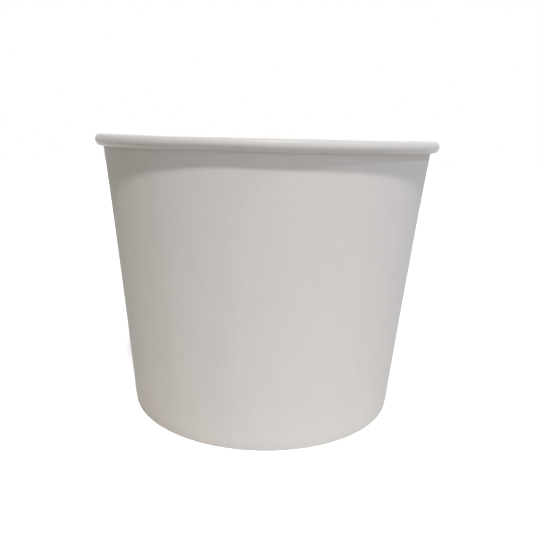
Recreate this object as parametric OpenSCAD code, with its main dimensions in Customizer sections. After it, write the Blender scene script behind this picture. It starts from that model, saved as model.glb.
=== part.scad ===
// Paper food bucket: a tapered paperboard tub with a rolled rim, a side seam and a recessed bottom.
// Millimetres. +Z is up, the origin is the centre of the foot ring, and the side seam is at the back, on +Y.
// Two blanks make it: the side wall, which carries the rim, the seam and the foot hem, and the bottom disc.

/* [Bucket] */

// Outside diameter over the rolled rim
rim_d = 181; // [170:0.5:190]

// Overall height, foot ring to rim top
height = 146; // [120:1:170]

// Outside diameter of the wall at the foot
base_d = 147.4; // [138:0.2:154]

// How far the wall bows in from a straight cone at mid height
wall_bow = 0.4; // [0:0.05:0.8]

/* [Board] */

// Thickness of the wall board
wall_t = 0.5; // [0.4:0.05:0.55]

// Thickness of the bottom board
bottom_t = 0.45; // [0.35:0.05:0.6]

// Clearance left for the sealing film between the two blanks
seal_gap = 0.04; // [0.02:0.01:0.08]

/* [Rolled rim] */

// Height of the rolled rim
curl_h = 5.5; // [5:0.1:6.5]

// Width of the rolled rim, from the inside face of the wall to its outermost edge
curl_w = 4.2; // [4.2:0.1:5.5]

// How far the edge of the board runs on inside the roll, in degrees past one full turn
curl_tuck = 60; // [15:15:90]

// Gap between the board's tucked edge and the wall beside it
curl_gap = 0.2; // [0.15:0.05:0.3]

/* [Bottom] */

// Height of the underside of the bottom disc above the foot
recess_h = 10.5; // [9.5:0.5:14]

// Height of the hem folded up inside the foot
hem_h = 8.6; // [6:0.1:8.8]

// Radius of the bend where the disc turns down into its skirt, on the underside
skirt_bend_r = 0.9; // [0.6:0.1:1.4]

// Height of the skirt's lower edge above the fold of the hem
skirt_clear = 0.15; // [0.1:0.05:0.5]

// Radius at the outer corners of the pressed foot
foot_corner_r = 0.3; // [0.2:0.05:0.4]

/* [Side seam] */

// Width of the overlap where the wall's two edges are sealed, measured at mid height
lap_w = 8; // [6:0.5:12]

// Width over which the outer layer climbs onto the inner one
ramp_w = 2.2; // [1.5:0.1:3]

/* [Hidden] */

// Facets round the bucket
round_fn = 72;

rim_r = rim_d / 2;
foot_r = base_d / 2;

// Half sizes and centre of the roll's oval section
curl_ax = curl_w / 2;
curl_az = curl_h / 2;
curl_cx = rim_r - curl_ax;
curl_cz = height - curl_az;

// The inside face of the wall: its radius at the foot, at the rim and where its bow starts
in_foot_r = foot_r - wall_t;
in_top_r = rim_r - curl_w;
bow_z0 = recess_h + bottom_t + skirt_bend_r;
slope = (in_top_r - in_foot_r) / curl_cz;

// The space the skirt fills between the wall and the hem
skirt_space = bottom_t + 2 * seal_gap;

// Angles the seam takes at the back
mid_r = (foot_r + in_top_r) / 2;
lap_deg = lap_w / mid_r * 180 / PI;
ramp_deg = ramp_w / mid_r * 180 / PI;
ramp_rise = wall_t / 2;

// How deep the sealed layers share their solid, and how far the lap runs up behind the roll
lap_bite = wall_t / 2;
lap_rise = curl_h / 6;
seam_az = 90;

// Where the roll starts to tuck in, in degrees of turn
roll_under = 270;

// Steps along the curved parts of the section, the roll's in degrees
bow_steps = 6;
roll_step = 15;
bend_steps = 4;
corner_steps = 2;

// Radius of the wall's inside face at height z
function wall_in(z) =
    in_foot_r + slope * z
    - (z > bow_z0 ? wall_bow * sin(180 * (z - bow_z0) / (curl_cz - bow_z0)) : 0);

// A run of points on an arc from angle a0 to a1
function arc_pts(cx, cz, r, a0, a1, n) =
    [for (i = [0 : n]) [cx + r * cos(a0 + (a1 - a0) * i / n), cz + r * sin(a0 + (a1 - a0) * i / n)]];

// The hem's free edge, at a depth k into the board from its food face
function hem_line(k) = [
    [wall_in(hem_h) - skirt_space - k, hem_h]
];

// The fold of the foot at depth k: square inside, with two small corners outside
function fold_line(k) =
    let (zi = wall_t - k)
    let (ri = wall_in(wall_t) - skirt_space - k)
    let (ro = wall_in(zi) + k)
    let (c = min(k, foot_corner_r))
    k < foot_corner_r
    ? [[ri, zi], [ro, zi]]
    : concat(
        arc_pts(ri + c, zi + c, c, 180, 270, corner_steps),
        arc_pts(ro - c, zi + c, c, 270, 360, corner_steps)
    );

// The wall at depth k, from above the fold to below the roll
function wall_line(k) =
    concat(
        [[wall_in(bow_z0) + k, bow_z0]],
        [for (i = [1 : bow_steps - 1])
            let (z = bow_z0 + (curl_cz - bow_z0) * i / bow_steps)
            [wall_in(z) + k, z]]
    );

// The roll at depth k: over the top, round and under, then in behind the wall by depth s
function curl_line(k, s) =
    [for (t = [0 : roll_step : 360 + curl_tuck])
        let (a = 180 - t)
        let (d = k + s * max(0, min(1, (t - roll_under) / (90 - roll_step))))
        [curl_cx + (curl_ax - d) * cos(a), curl_cz + (curl_az - d) * sin(a)]];

// One face of the board from the hem's edge to the end of the roll
function face_line(k, s) = concat(hem_line(k), fold_line(k), wall_line(k), curl_line(k, s));

// The wall alone at depth k, between heights z0 and z1
function strip_line(k, z0, z1) =
    [for (i = [0 : bow_steps]) let (z = z0 + (z1 - z0) * i / bow_steps) [wall_in(z) + k, z]];

function backwards(p) = [for (i = [len(p) - 1 : -1 : 0]) p[i]];

// A layer of the seam, from angle a0 to a1, depth k0 to k1 and height z0 to z1
module seam_layer(a0, a1, k0, k1, z0, z1) {
    rotate_extrude(angle = a1 - a0, start = a0, $fn = round_fn)
        polygon(concat(strip_line(k0, z0, z1), backwards(strip_line(k1, z0, z1))));
}

// The side wall: one blank rolled to a cone, lapped and sealed at the back, its top edge
// rolled outwards and its bottom edge folded in and up over the disc's skirt
module sidewall() {
    lap0 = seam_az - lap_deg / 2;
    lap1 = seam_az + lap_deg / 2;
    out_z0 = 2 * foot_corner_r;
    out_z1 = height - curl_h + lap_rise;
    in_z0 = recess_h + bottom_t + seal_gap;
    color([0.87, 0.85, 0.82])
    difference() {
        union() {
            // the board all round, with its hem and roll
            rotate_extrude($fn = round_fn)
                polygon(concat(
                    face_line(0, wall_t + curl_gap),
                    backwards(face_line(wall_t, wall_t + curl_gap))
                ));
            // the outer layer of the lap, and the step by which it climbs onto the inner one
            seam_layer(lap0, lap1, lap_bite, 2 * wall_t, out_z0, out_z1);
            seam_layer(seam_az, lap1 + ramp_deg, lap_bite, ramp_rise + wall_t, out_z0, out_z1);
        }
        // the hollow that the climbing layer leaves beside the inner layer's edge
        seam_layer(lap1, lap1 + ramp_deg, -wall_t, ramp_rise, in_z0, curl_cz);
    }
}

// The bottom disc: flat, recessed above the foot, with a skirt turned down between wall and hem
module bottom_disc() {
    skirt_z = wall_t + skirt_clear;
    top_z = recess_h + bottom_t;
    bend_r = skirt_bend_r + bottom_t;
    out_low = wall_in(skirt_z) - seal_gap;
    out_high = wall_in(top_z - bend_r) - seal_gap;
    bend_x = out_high - bend_r;
    bend_z = top_z - bend_r;
    color([0.84, 0.82, 0.79])
    rotate_extrude($fn = round_fn)
        polygon(concat(
            [[0, recess_h], [0, top_z]],
            backwards(arc_pts(bend_x, bend_z, bend_r, 0, 90, bend_steps)),
            [[out_low, skirt_z], [out_low - bottom_t, skirt_z]],
            arc_pts(bend_x, bend_z, skirt_bend_r, 0, 90, bend_steps)
        ));
}

sidewall();
bottom_disc();
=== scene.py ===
"""Looks of the paper food bucket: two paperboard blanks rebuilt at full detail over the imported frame.

Metres throughout. The bucket stands on z = 0, +Z is up, the camera looks along +Y and the side seam is on +Y.
An angle round the bucket is in radians from +X, so the front is at minus a quarter turn.
"""

import math

import bpy
import numpy as np
from mathutils import Matrix, Vector


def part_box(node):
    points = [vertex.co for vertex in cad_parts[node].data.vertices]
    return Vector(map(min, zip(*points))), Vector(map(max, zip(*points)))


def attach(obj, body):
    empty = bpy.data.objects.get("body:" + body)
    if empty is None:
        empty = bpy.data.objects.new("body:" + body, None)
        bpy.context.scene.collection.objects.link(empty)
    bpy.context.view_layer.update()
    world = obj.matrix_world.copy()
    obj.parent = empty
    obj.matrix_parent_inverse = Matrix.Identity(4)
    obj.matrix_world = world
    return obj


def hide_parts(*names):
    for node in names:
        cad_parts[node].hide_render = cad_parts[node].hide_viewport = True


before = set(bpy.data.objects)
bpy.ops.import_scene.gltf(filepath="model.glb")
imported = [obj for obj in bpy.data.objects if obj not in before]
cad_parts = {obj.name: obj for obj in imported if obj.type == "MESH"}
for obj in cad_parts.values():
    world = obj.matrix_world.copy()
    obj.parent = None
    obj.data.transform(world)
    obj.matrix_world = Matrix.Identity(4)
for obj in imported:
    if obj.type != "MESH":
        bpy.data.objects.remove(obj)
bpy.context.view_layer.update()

MM = 0.001
SEAM = math.pi / 2

# Sizes taken from the frame
WALL_LOW, WALL_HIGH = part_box("sidewall")
HEIGHT = WALL_HIGH.z
RIM_R = (WALL_HIGH.x - WALL_LOW.x) / 2
DISC_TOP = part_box("bottom_disc")[1].z

# The board, as in the part's source
BOARD = 0.50 * MM
DISC_BOARD = 0.45 * MM
FILM = 0.04 * MM

# The wall: its foot, the hem folded up inside it, and the lap at the back with the ramp beside it
FOOT_R = 73.7 * MM
FOOT_CORNER = 0.3 * MM
HEM_H = 8.6 * MM
WALL_START = 0.8 * MM
BOW = 0.4 * MM
BOW_START = 0.9 * MM
MID_R = RIM_R - 8 * MM
LAP_ANGLE = 8.0 * MM / MID_R
RAMP_ANGLE = 3.0 * MM / MID_R

# The roll, whose end tucks in beside the wall. Its turns are in degrees, and fewer where the board is double.
ROLL_W = 4.2 * MM
ROLL_H = 5.5 * MM
ROLL_TURN = 415
ROLL_TURN_LESS = 125
TUCK_FROM = 270
TUCK_OVER = 75
TUCK_GAP = 0.2 * MM

# The bottom disc: its bend, its skirt, how far it sags and the pressed ring near its edge
BEND_R = 0.9 * MM
SKIRT_LOW = 1.15 * MM
DISC_SAG = 0.25 * MM
RING_DEPTH = 0.12 * MM
RING_FROM_EDGE = 3.2 * MM
RING_WIDTH = 0.8 * MM

# The rim's height strays from the drawn one: it rises at the sides and the front, and dips at the seam
RIM_WARP = 0.55 * MM
RIM_SET = 0.10
FRONT_RISE = 0.70 * MM
FRONT_RISE_AT = (math.radians(-83), math.radians(38))
SEAM_DIP = 0.35 * MM
SEAM_DIP_AT = (SEAM, 0.9)
WARP_FADE = 3

# The wall strays from the drawn cone: out of round, faintly flat in places, and swollen over the hem.
# A wave is its count round the bucket, its start and its share.
OUT_OF_ROUND = 0.18 * MM
ROUND_WAVES = ((2, 0.5, 1.0), (3, 2.1, 0.5))
ROUND_FADE = 1.6
FLATS = 0.022 * MM
FLAT_WAVES = ((17, 0.4, 1.0), (29, 1.9, 0.8), (43, 0.7, 0.6))
FLATS_LOW = 18 * MM
FLATS_HIGH = 14 * MM
HEM_SWELL = 0.16 * MM
SWELL_START, SWELL_RISE = 0.6 * MM, 1.5 * MM
SWELL_END, SWELL_FALL = 11.5 * MM, 5 * MM

# The roll is a little pointed below its nose, wider on the right, and pinched smaller left of the front
NOSE_POINT = 1.32
ROLL_SWELL = 0.10 * MM
ROLL_SWELL_AT = (0.0, 0.7)
PINCH_AT = (math.radians(-106), math.radians(13))
PINCH_W = 0.12 * MM
PINCH_H = 0.28 * MM

# Mesh density
TURN_STEPS = 520
LAP_STEPS = 12
RAMP_STEPS = 10
ROLL_STEPS = 40
WALL_STEPS = 30
HEM_STEPS = 9
DISC_TURN_STEPS = 256
DISC_FLAT_STEPS = 60
BEND_STEPS = 8
SKIRT_STEPS = 8
WELD = 1e-6

# Material slots of both blanks
FOOD, OUTER, CUT = 0, 1, 2


def smooth(x):
    """0 below 0, 1 above 1, with an easy curve between them."""
    x = np.clip(x, 0.0, 1.0)
    return x * x * (3.0 - 2.0 * x)


def bump_at(angle, centre, width):
    """A soft bump of height 1 round an angle, width in radians."""
    d = (angle - centre + math.pi) % (2 * math.pi) - math.pi
    return np.exp(-((d / width) ** 2))


class Wall:
    """The wall board's section at one angle: the food face, the roll's size and place, and how both stray."""

    foot_in = FOOT_R - BOARD
    top_in = RIM_R - ROLL_W
    bow_z0 = DISC_TOP + BOW_START

    def __init__(self, angle):
        self.angle = angle
        pinch = bump_at(angle, *PINCH_AT)
        self.roll_ax = ROLL_W / 2 + ROLL_SWELL * bump_at(angle, *ROLL_SWELL_AT) - PINCH_W * pinch
        self.roll_az = ROLL_H / 2 - PINCH_H * pinch
        self.roll_x = self.top_in + self.roll_ax
        self.roll_z = HEIGHT - self.roll_az

    def inside(self, z):
        """Radius of the food face at height z."""
        r = self.foot_in + (self.top_in - self.foot_in) * z / self.roll_z
        t = np.clip((z - self.bow_z0) / (self.roll_z - self.bow_z0), 0, 1)
        return r - BOW * np.sin(math.pi * t)

    def stray(self, z):
        """How far the real board stands off the drawn cone here."""
        a = self.angle
        up = np.clip(z / self.roll_z, 0, 1)
        wide = OUT_OF_ROUND * sum(share * np.cos(count * a + start) for count, start, share in ROUND_WAVES)
        flats = FLATS * sum(share * np.sin(count * a + start) for count, start, share in FLAT_WAVES)
        free = smooth((z - self.bow_z0) / FLATS_LOW) * smooth((self.roll_z - z) / FLATS_HIGH)
        hem = HEM_SWELL * smooth((z - SWELL_START) / SWELL_RISE) * smooth((SWELL_END - z) / SWELL_FALL)
        return wide * up * (ROUND_FADE - up) + flats * free + hem

    def lift(self, z):
        """How far the rim's warp lifts the board here, less and less down the wall."""
        a = self.angle
        warp = RIM_WARP * (np.cos(2 * a) - RIM_SET)
        warp += FRONT_RISE * bump_at(a, *FRONT_RISE_AT) - SEAM_DIP * bump_at(a, *SEAM_DIP_AT)
        return warp * np.clip(z / HEIGHT, 0, 1) ** WARP_FADE


def wall_line(angle, k, fold_z, roll_end, tuck):
    """The board's face at depth k, at one angle: rows of (radius, height) from the hem's edge to the roll's end."""
    w = Wall(angle)
    space = DISC_BOARD + 2 * FILM
    corner = min(k, FOOT_CORNER)
    low = fold_z - k + corner

    # the hem, from its free edge down
    hem = np.linspace(HEM_H, low, HEM_STEPS)
    r = list(w.inside(hem) - space - k)
    z = list(hem)

    # the fold, with two small corners
    in_x = w.inside(BOARD) - space - k + corner
    out_x = w.inside(fold_z - k) + k - corner
    for x, turns in ((in_x, (210, 240, 270)), (out_x, (270, 300, 330, 360))):
        for turn in turns:
            r.append(x + corner * math.cos(math.radians(turn)))
            z.append(low + corner * math.sin(math.radians(turn)))

    # the wall, closer steps near the hem and the roll
    t = np.linspace(0, 1, WALL_STEPS)
    t = (t + (1 - np.cos(math.pi * t)) / 2) / 2
    foot = low + WALL_START
    up = foot + (w.roll_z - foot) * t[:-1]
    r += list(w.inside(up) + k)
    z += list(up)

    # the roll, over the top and round
    turn = np.linspace(0, roll_end, ROLL_STEPS + 1)
    a = np.radians(180 - turn)
    d = k + tuck * np.clip((turn - TUCK_FROM) / TUCK_OVER, 0, 1)
    across, along = np.cos(a), np.sin(a)
    below_nose = (a < 0) & (a > -math.pi / 2)
    along = np.where(below_nose, -np.abs(along) ** NOSE_POINT, along)
    r += list(w.roll_x + (w.roll_ax - d) * across)
    z += list(w.roll_z + (w.roll_az - d) * along)

    r, z = np.array(r), np.array(z)
    return np.column_stack([r + w.stray(z), z + w.lift(z)])


def make_object(name, verts, faces, slots, materials):
    """A mesh object with smooth faces and a material slot per face, its coincident points made one."""
    mesh = bpy.data.meshes.new(name)
    mesh.from_pydata([tuple(v) for v in verts], [], faces)
    for m in materials:
        mesh.materials.append(m)
    mesh.polygons.foreach_set("material_index", slots)
    mesh.polygons.foreach_set("use_smooth", [True] * len(faces))
    mesh.update()
    obj = bpy.data.objects.new(name, mesh)
    obj.modifiers.new("weld", "WELD").merge_threshold = WELD
    bpy.context.scene.collection.objects.link(obj)
    return obj


def build_sidewall(materials):
    """The side blank as one closed sheet: rolled, lapped at the back, its rim rolled and its foot hemmed."""
    full = 2 * math.pi
    stack = BOARD + FILM

    # closer steps where the board climbs onto its own edge
    marks = (0, LAP_ANGLE, LAP_ANGLE + RAMP_ANGLE, full - RAMP_ANGLE, full)
    counts = (LAP_STEPS, RAMP_STEPS, TURN_STEPS, RAMP_STEPS)
    along = [np.linspace(a, b, n, endpoint=False) for a, b, n in zip(marks, marks[1:], counts)]
    along.append(np.linspace(full, full + LAP_ANGLE, LAP_STEPS))
    rings = []
    for s in np.concatenate(along):
        angle = SEAM - LAP_ANGLE / 2 + s
        under = 1 - smooth((s - LAP_ANGLE) / RAMP_ANGLE)
        over = smooth((s - (full - RAMP_ANGLE)) / RAMP_ANGLE)
        climb = stack * over
        near = max(under, over)
        fold_z = BOARD + stack * near
        roll_end = ROLL_TURN - ROLL_TURN_LESS * near
        tuck = BOARD + TUCK_GAP + stack * near
        food = wall_line(angle, climb, fold_z, roll_end, tuck)
        outer = wall_line(angle, climb + BOARD, fold_z, roll_end, tuck)
        loop = np.vstack([food, outer[::-1]])
        x, y = loop[:, 0] * math.cos(angle), loop[:, 0] * math.sin(angle)
        rings.append(np.column_stack([x, y, loop[:, 1]]))

    n, m = len(rings), len(rings[0])
    half = m // 2
    faces, slots = [], []
    for i in range(n - 1):
        for j in range(m):
            k = (j + 1) % m
            faces.append((i * m + j, i * m + k, (i + 1) * m + k, (i + 1) * m + j))
            slots.append(CUT if j in (half - 1, m - 1) else (FOOD if j < half else OUTER))
    for i in (0, n - 1):
        for j in range(half - 1):
            quad = (i * m + j, i * m + j + 1, i * m + m - 2 - j, i * m + m - 1 - j)
            faces.append(quad[::-1] if i == 0 else quad)
            slots.append(CUT)
    return make_object("side_blank", np.vstack(rings), faces, slots, materials)


def disc_line(depth):
    """The disc's face at a depth below its top face, as rows of (radius, height) from the middle out."""
    w = Wall(0.0)
    top = DISC_TOP - depth
    rad = BEND_R + DISC_BOARD - depth
    edge = w.inside(DISC_TOP - BEND_R) - FILM - BEND_R - DISC_BOARD
    flat = np.linspace(0, edge, DISC_FLAT_STEPS)
    sag = -DISC_SAG * (1 - (flat / edge) ** 2)
    ring = -RING_DEPTH * np.exp(-(((flat - edge + RING_FROM_EDGE) / RING_WIDTH) ** 2))
    rows = list(zip(flat, top + sag + ring))
    for i in range(1, BEND_STEPS + 1):
        a = math.pi / 2 * (1 - i / BEND_STEPS)
        rows.append((edge + rad * math.cos(a), top - rad + rad * math.sin(a)))
    drop = np.linspace(top - rad, SKIRT_LOW, SKIRT_STEPS)[1:]
    return rows + [(w.inside(z) - FILM - depth, z) for z in drop]


def build_disc(materials):
    """The bottom blank: a flat disc with a pressed ring near its edge, its skirt turned down into the hem."""
    loop = disc_line(0.0) + disc_line(DISC_BOARD)[::-1]
    n, m = DISC_TURN_STEPS, len(loop)
    half = m // 2
    verts, faces, slots = [], [], []
    for i in range(n):
        a = 2 * math.pi * i / n
        verts += [(r * math.cos(a), r * math.sin(a), z) for r, z in loop]
    for i in range(n):
        p, q = i * m, (i + 1) % n * m
        for j in range(m - 1):
            faces.append((p + j, p + j + 1, q + j + 1, q + j))
            slots.append(CUT if j == half - 1 else (FOOD if j < half else OUTER))
    return make_object("bottom_blank", verts, faces, slots, materials)


class Nodes:
    """Short ways to write the nodes of a material or of the world."""

    def __init__(self, tree, output):
        self.tree = tree
        tree.nodes.clear()
        self.out = self.add(output)

    def add(self, kind, **values):
        node = self.tree.nodes.new(kind)
        for key, value in values.items():
            setattr(node, key, value)
        return node

    def put(self, source, target):
        self.tree.links.new(source, target)

    def noise(self, vector, scale, detail=3.0, rough=0.55):
        n = self.add("ShaderNodeTexNoise")
        for socket, number in (("Scale", scale), ("Detail", detail), ("Roughness", rough)):
            n.inputs[socket].default_value = number
        self.put(vector, n.inputs["Vector"])
        return n.outputs["Fac"]

    def ramp(self, value, start, end, low, high, curve="LINEAR"):
        """Maps start..end to low..high."""
        n = self.add("ShaderNodeMapRange", interpolation_type=curve)
        for socket, number in zip(("From Min", "From Max", "To Min", "To Max"), (start, end, low, high)):
            n.inputs[socket].default_value = number
        self.put(value, n.inputs["Value"])
        return n.outputs["Result"]

    def spread(self, value, low, high):
        """Maps a noise value, mostly 0.3 to 0.7, to low to high."""
        return self.ramp(value, 0.3, 0.7, low, high)

    def scaled(self, vector, factor):
        """A fixed colour or vector times a changing number."""
        n = self.add("ShaderNodeVectorMath", operation="SCALE")
        n.inputs[0].default_value = vector
        self.put(factor, n.inputs["Scale"])
        return n.outputs["Vector"]

    def math(self, how, a, b):
        n = self.add("ShaderNodeMath", operation=how)
        for socket, value in zip(n.inputs, (a, b)):
            if isinstance(value, (int, float)):
                socket.default_value = value
            else:
                self.put(value, socket)
        return n.outputs[0]

    def bump(self, height, distance, below=None):
        n = self.add("ShaderNodeBump")
        n.inputs["Distance"].default_value = distance
        n.inputs["Strength"].default_value = 1.0
        self.put(height, n.inputs["Height"])
        if below is not None:
            self.put(below, n.inputs["Normal"])
        return n.outputs["Normal"]

    def both(self, a, b):
        """Two shaders added together."""
        n = self.add("ShaderNodeAddShader")
        self.put(a, n.inputs[0])
        self.put(b, n.inputs[1])
        return n.outputs["Shader"]

    def either(self, how, a, b):
        """Shader a where how is 0, and b where it is 1."""
        n = self.add("ShaderNodeMixShader")
        self.put(how, n.inputs["Fac"])
        self.put(a, n.inputs[1])
        self.put(b, n.inputs[2])
        return n.outputs["Shader"]

    def seen(self):
        """1 for the rays that show the background: the camera's, and those that shine off or go through."""
        path = self.add("ShaderNodeLightPath").outputs
        sent_on = self.math("MAXIMUM", path["Is Glossy Ray"], path["Is Transmission Ray"])
        return self.math("MAXIMUM", path["Is Camera Ray"], sent_on)


def new_material(name):
    mat = bpy.data.materials.new(name)
    mat.use_nodes = True
    return mat, Nodes(mat.node_tree, "ShaderNodeOutputMaterial")


# Scales of the noise in the board, per metre
CLOUD_SCALE, SPECK_SCALE, BAND_SCALE = 85, 1500, 120
SHINE_SCALE, FIBRE_SCALE, STREAK_SCALE = 420, 2600, 160
ALONG_HEIGHT = (1.0, 1.0, 0.035)


def paper(name, color, rough, cloud, fibre, streak, shine=0.12):
    """Paperboard: cloudy formation, fine fibre relief and faint streaks along the board's height."""
    mat, n = new_material(name)
    place = n.add("ShaderNodeTexCoord").outputs["Object"]
    mapping = n.add("ShaderNodeMapping")
    mapping.inputs["Scale"].default_value = ALONG_HEIGHT
    n.put(place, mapping.inputs["Vector"])
    tall = mapping.outputs["Vector"]

    clouds = n.spread(n.noise(place, CLOUD_SCALE, 4, 0.6), 1 - cloud, 1 + cloud)
    specks = n.spread(n.noise(place, SPECK_SCALE, 2, 0.5), 1 - cloud * 0.7, 1 + cloud * 0.7)
    bands = n.spread(n.noise(tall, BAND_SCALE, 3, 0.55), 1 - cloud * 0.8, 1 + cloud * 0.8)
    tone = n.math("MULTIPLY", n.math("MULTIPLY", clouds, specks), bands)

    shader = n.add("ShaderNodeBsdfPrincipled")
    shader.inputs["IOR"].default_value = 1.45
    shader.inputs["Specular IOR Level"].default_value = shine
    n.put(n.scaled(color, tone), shader.inputs["Base Color"])
    n.put(n.spread(n.noise(place, SHINE_SCALE, 3), rough - 0.05, rough + 0.05), shader.inputs["Roughness"])

    grain = n.bump(n.noise(place, FIBRE_SCALE, 3, 0.6), fibre)
    waves = n.bump(n.noise(tall, STREAK_SCALE, 2, 0.5), streak, below=grain)
    n.put(waves, shader.inputs["Normal"])
    n.put(shader.outputs["BSDF"], n.out.inputs["Surface"])
    return mat


def bucket_materials():
    """The board's three faces, in the order of the slots."""
    food = paper("coated_board", (0.622, 0.610, 0.592), 0.45, 0.010, 0.00001, 0.00015, shine=0.4)
    outer = paper("plain_board", (0.742, 0.725, 0.706), 0.7, 0.012, 0.00003, 0.0002, shine=0.2)
    cut = paper("cut_edge", (0.64, 0.60, 0.54), 0.9, 0.05, 0.00008, 0.0002)
    return [food, outer, cut]


# The floor: its tone, how much white it adds with distance to what the camera sees, and how much light it
# throws back at the bucket, which falls off with distance. The last two are start, end, low, high.
FLOOR_HALF = 3.0
FLOOR_TONE = (0.79, 0.81)
FLOOR_GLOW = (0.30, 1.00, 0.55, 1.0)
FLOOR_THROW = (0.18, 0.60, 0.60, 0.22)
FLOOR_TINT = (1.0, 0.965, 0.905)


def build_floor():
    """A plain white floor that goes on to the horizon and keeps the bucket's shadow."""
    h = FLOOR_HALF
    mesh = bpy.data.meshes.new("floor")
    mesh.from_pydata([(-h, -h, 0), (h, -h, 0), (h, h, 0), (-h, h, 0)], [], [(0, 1, 2, 3)])
    floor = bpy.data.objects.new("floor", mesh)
    bpy.context.scene.collection.objects.link(floor)
    mat, n = new_material("floor_white")
    place = n.add("ShaderNodeTexCoord").outputs["Object"]
    reach = n.add("ShaderNodeVectorMath", operation="LENGTH")
    n.put(place, reach.inputs[0])
    far = reach.outputs["Value"]

    # what the camera sees
    white = n.add("ShaderNodeBsdfPrincipled")
    white.inputs["Roughness"].default_value = 0.9
    n.put(n.scaled((1, 1, 1), n.spread(n.noise(place, 60, 3), *FLOOR_TONE)), white.inputs["Base Color"])
    glow = n.add("ShaderNodeEmission")
    n.put(n.ramp(far, *FLOOR_GLOW, curve="SMOOTHSTEP"), glow.inputs["Strength"])

    # what the bucket gets back
    dull = n.add("ShaderNodeBsdfDiffuse")
    n.put(n.scaled(FLOOR_TINT, n.ramp(far, *FLOOR_THROW, curve="SMOOTHSTEP")), dull.inputs["Color"])

    shown = n.both(white.outputs["BSDF"], glow.outputs["Emission"])
    n.put(n.either(n.seen(), dull.outputs["BSDF"], shown), n.out.inputs["Surface"])
    mesh.materials.append(mat)


# Light: a small far key high in front, a second one high on the right, a wide one low on the right, and a
# surround that is brighter on some sides than on others, each side given as the way to it and its light
AIM = Vector((0, 0, 0.11))
LIGHTS = {
    "key": dict(azimuth=4, elevation=62.3, distance=4.07, size=0.36, power=(118.0, 115.0, 114.0)),
    "side": dict(azimuth=69.4, elevation=44.9, distance=4.08, size=0.40, power=(24.0, 26.0, 27.0)),
    "low": dict(azimuth=35, elevation=10, distance=1.6, size=1.0, power=(3.60, 4.00, 5.00)),
}
SURROUND = {
    "left": ((-1, 0, 0), (0.09, 0.08, 0.07)),
    "front": ((0, -1, 0), (0.40, 0.36, 0.31)),
    "back": ((0, 1, 0), (0.60, 0.60, 0.60)),
}


def build_surround():
    """A surround whose light falls off smoothly from each named side, and which the camera sees as white."""
    world = bpy.context.scene.world or bpy.data.worlds.new("surround")
    bpy.context.scene.world = world
    world.use_nodes = True
    n = Nodes(world.node_tree, "ShaderNodeOutputWorld")
    way = n.add("ShaderNodeTexCoord").outputs["Generated"]
    total = None
    for name, (side, light) in SURROUND.items():
        facing = n.add("ShaderNodeVectorMath", operation="DOT_PRODUCT")
        facing.inputs[1].default_value = side
        n.put(way, facing.inputs[0])
        glow = n.add("ShaderNodeBackground", name=name)
        glow.inputs["Color"].default_value = (*light, 1)
        n.put(n.math("MAXIMUM", facing.outputs["Value"], 0), glow.inputs["Strength"])
        part = glow.outputs["Background"]
        total = part if total is None else n.both(total, part)
    white = n.add("ShaderNodeBackground")
    white.inputs["Color"].default_value = (1, 1, 1, 1)
    n.put(n.either(n.seen(), total, white.outputs["Background"]), n.out.inputs["Surface"])


def build_lights():
    """The lamps, each a disc that faces AIM. A lamp's power is given per colour, in watts."""
    for name, v in LIGHTS.items():
        lamp = bpy.data.lights.new(name, "AREA")
        lamp.shape = "DISK"
        lamp.size = v["size"]
        lamp.energy = max(v["power"])
        lamp.color = [c / lamp.energy for c in v["power"]]
        obj = bpy.data.objects.new(name, lamp)
        bpy.context.scene.collection.objects.link(obj)
        a, e = math.radians(v["azimuth"]), math.radians(v["elevation"])
        way = Vector((math.sin(a) * math.cos(e), -math.cos(a) * math.cos(e), math.sin(e)))
        obj.location = AIM + way * v["distance"]
        obj.rotation_mode = "QUATERNION"
        obj.rotation_quaternion = (-way).to_track_quat("-Z", "Y")


# The photo's camera, fitted to the bucket's outline: a phone held level with the rim
IMAGE_W, IMAGE_H = 542, 537
CAMERA_FOCAL_PX = 553.0
CAMERA_CENTRE_PX = (265.9, 268.45)
CAMERA_AWAY = 0.312
CAMERA_UP = 0.146
CAMERA_PITCH = 0.2307
CAMERA_YAW = 0.0032
CAMERA_ROLL = 0.0250
SENSOR_W = 36


def build_camera():
    cam = bpy.data.cameras.new("camera")
    obj = bpy.data.objects.new("camera", cam)
    bpy.context.scene.collection.objects.link(obj)
    bpy.context.scene.camera = obj
    cam.sensor_width = SENSOR_W
    cam.sensor_fit = "HORIZONTAL"
    cam.lens = CAMERA_FOCAL_PX / IMAGE_W * SENSOR_W
    cam.shift_x = (IMAGE_W / 2 - CAMERA_CENTRE_PX[0]) / IMAGE_W
    cam.shift_y = (CAMERA_CENTRE_PX[1] - IMAGE_H / 2) / IMAGE_W
    cam.clip_start = 0.01
    cam.clip_end = 20
    cp, sp = math.cos(CAMERA_PITCH), math.sin(CAMERA_PITCH)
    cy, sy = math.cos(CAMERA_YAW), math.sin(CAMERA_YAW)
    cr, sr = math.cos(CAMERA_ROLL), math.sin(CAMERA_ROLL)
    ahead = Vector((cp * sy, cp * cy, -sp))
    level = Vector((cy, -sy, 0))
    above = Vector((sp * sy, sp * cy, cp))
    right = level * cr + above * sr
    up = above * cr - level * sr
    turn = Matrix((right, up, -ahead)).transposed().to_4x4()
    obj.matrix_world = Matrix.Translation((0, -CAMERA_AWAY, CAMERA_UP)) @ turn


def main():
    materials = bucket_materials()
    side = build_sidewall(materials)
    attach(side, "root")
    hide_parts("sidewall")
    disc = build_disc(materials)
    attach(disc, "root")
    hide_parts("bottom_disc")
    build_floor()
    build_surround()
    build_lights()
    build_camera()
    bpy.context.scene.view_settings.view_transform = "Standard"


main()
